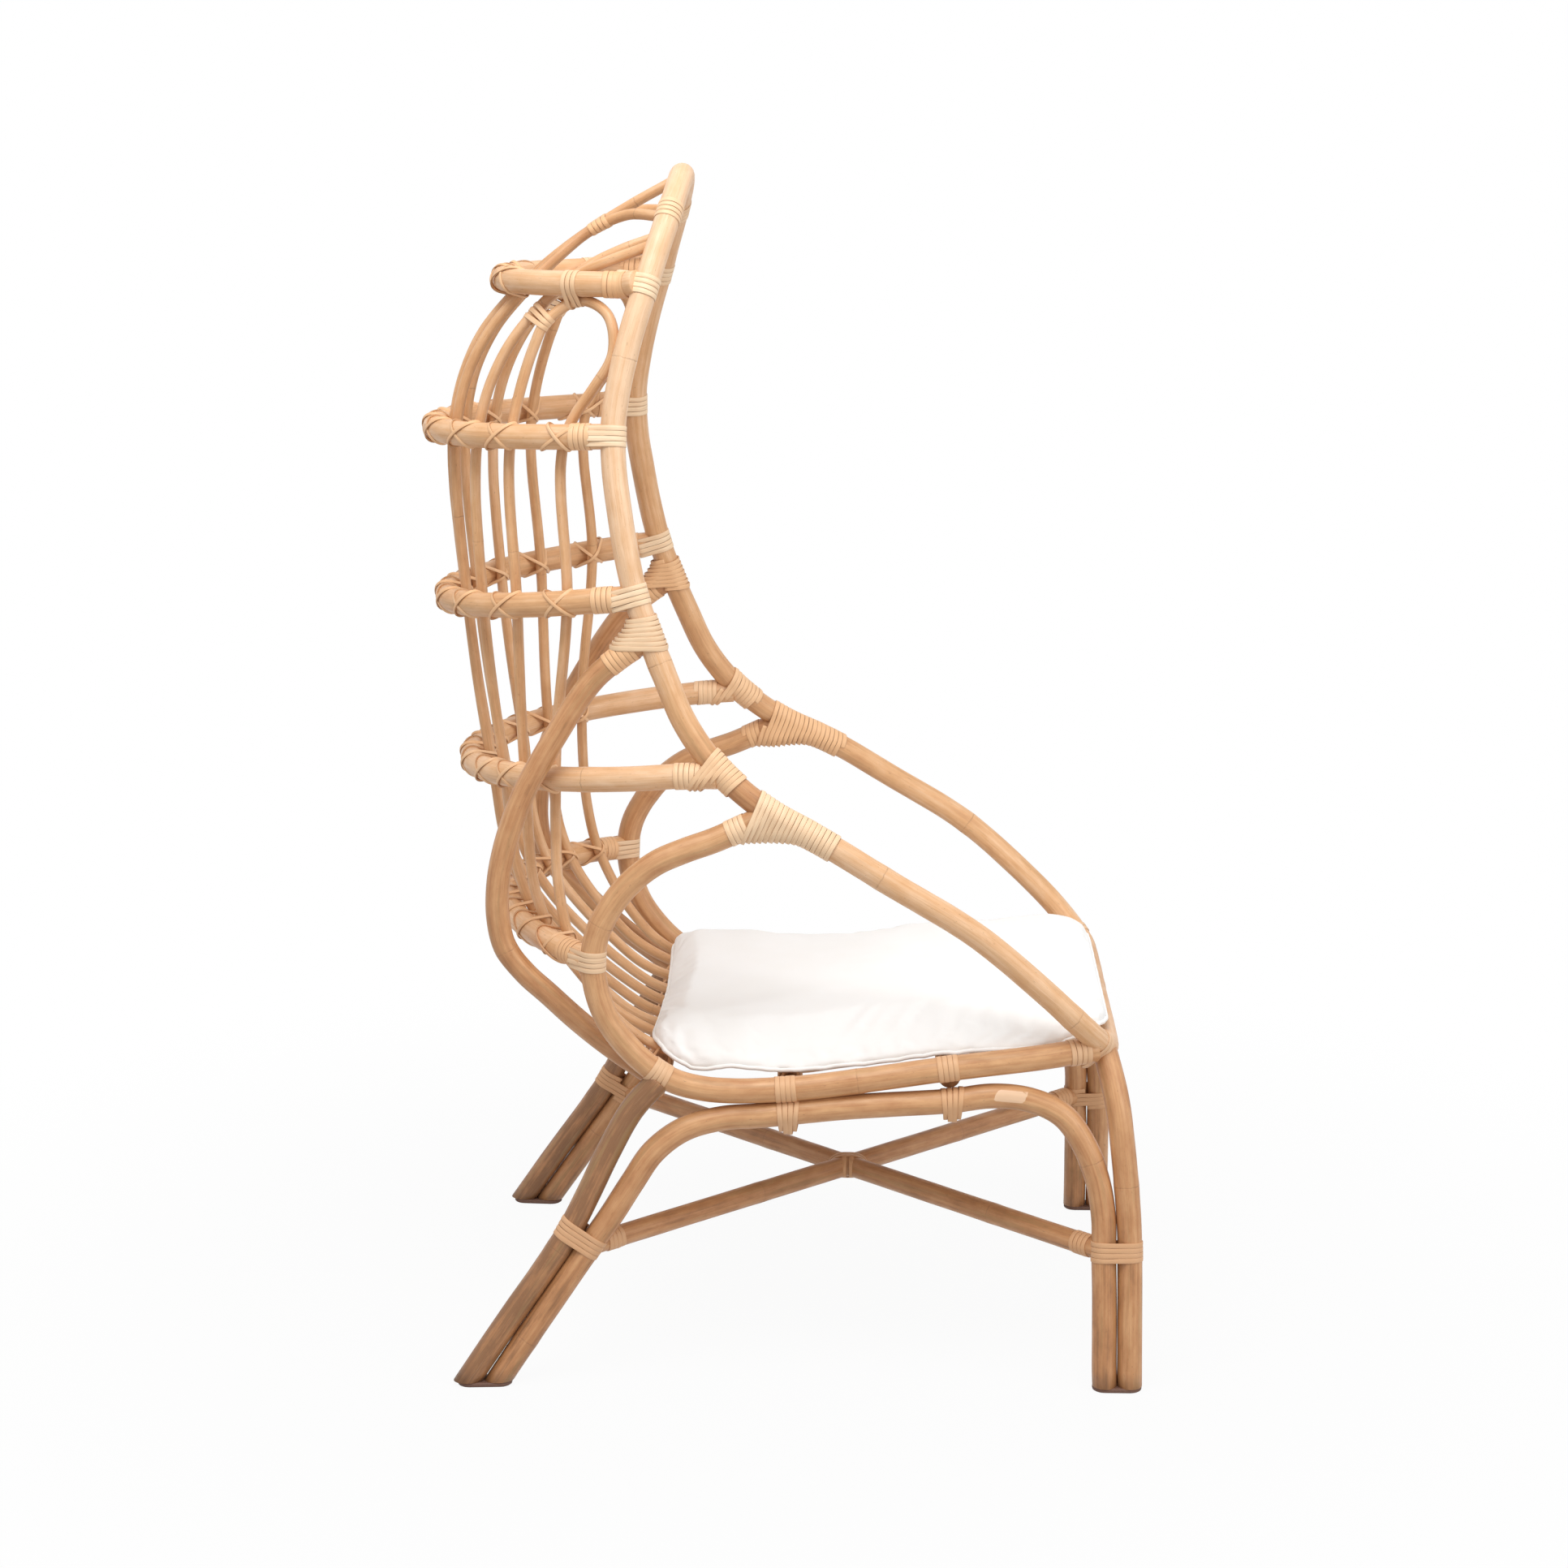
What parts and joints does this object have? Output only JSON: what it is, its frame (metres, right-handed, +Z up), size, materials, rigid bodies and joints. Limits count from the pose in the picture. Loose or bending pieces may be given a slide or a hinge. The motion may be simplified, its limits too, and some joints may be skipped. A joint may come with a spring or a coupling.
{
  "type": "peacock chair",
  "caption": "Rattan peacock chair with a tall hooded spindle back on bent rings, looped arms, peel-bound joints, crossed stretchers and a thin loose seat cushion.",
  "frame": {"origin": "on the floor, under the centre of the chair's box", "axes": "+Z up, -Y the way the sitter faces, +X to the sitter's left"},
  "size_m": [0.6682, 0.8846, 1.4409],
  "materials": {
    "rattan": "clear satin lacquer over peeled rattan pole",
    "peel": "satin rattan peel strip",
    "cushion_cloth": "matt off-white cotton canvas with piped seam",
    "pad": "matt dark brown"
  },
  "bodies": {
    "frame": {"arm_binding_left": "peel", "arm_binding_right": "peel", "arm_bow": "rattan", "back_hoop": "rattan", "back_ring_1": "rattan", "back_ring_2": "rattan", "back_ring_3": "rattan", "back_ring_4": "rattan", "back_ring_5": "rattan", "brace_binding_left": "peel", "brace_binding_right": "peel", "foot_pad_front_left": "pad", "foot_pad_front_right": "pad", "foot_pad_rear_left": "pad", "foot_pad_rear_right": "pad", "front_leg_left": "rattan", "front_leg_right": "rattan", "leg_binding_front_left": "peel", "leg_binding_front_right": "peel", "leg_binding_rear_left": "peel", "leg_binding_rear_right": "peel", "leg_hoop_left": "rattan", "leg_hoop_right": "rattan", "rail_binding_1_left": "peel", "rail_binding_1_right": "peel", "rail_binding_2_left": "peel", "rail_binding_2_right": "peel", "rear_brace_left": "rattan", "rear_brace_right": "rattan", "rear_leg_left": "rattan", "rear_leg_right": "rattan", "rear_seat_rail": "rattan", "ring_binding_1_left": "peel", "ring_binding_1_right": "peel", "ring_binding_2_left": "peel", "ring_binding_2_right": "peel", "ring_binding_3_left": "peel", "ring_binding_3_right": "peel", "ring_binding_4_left": "peel", "ring_binding_4_right": "peel", "ring_binding_5_left": "peel", "ring_binding_5_right": "peel", "seat_crossbar_1": "rattan", "seat_crossbar_2": "rattan", "seat_loop_left": "rattan", "seat_loop_right": "rattan", "spindle_centre": "rattan", "spindle_inner_left": "rattan", "spindle_inner_right": "rattan", "spindle_loop_left": "rattan", "spindle_loop_right": "rattan", "spindle_middle_left": "rattan", "spindle_middle_right": "rattan", "stretcher_1": "rattan", "stretcher_2": "rattan"},
    "cushion": {"seat_cushion": "cushion_cloth"}
  },
  "joints": [
    {"name": "cushion_lift", "type": "slide", "parent": "frame", "child": "cushion", "axis": [0, 0, 1], "range_m": [0, 0.15]}
  ]
}
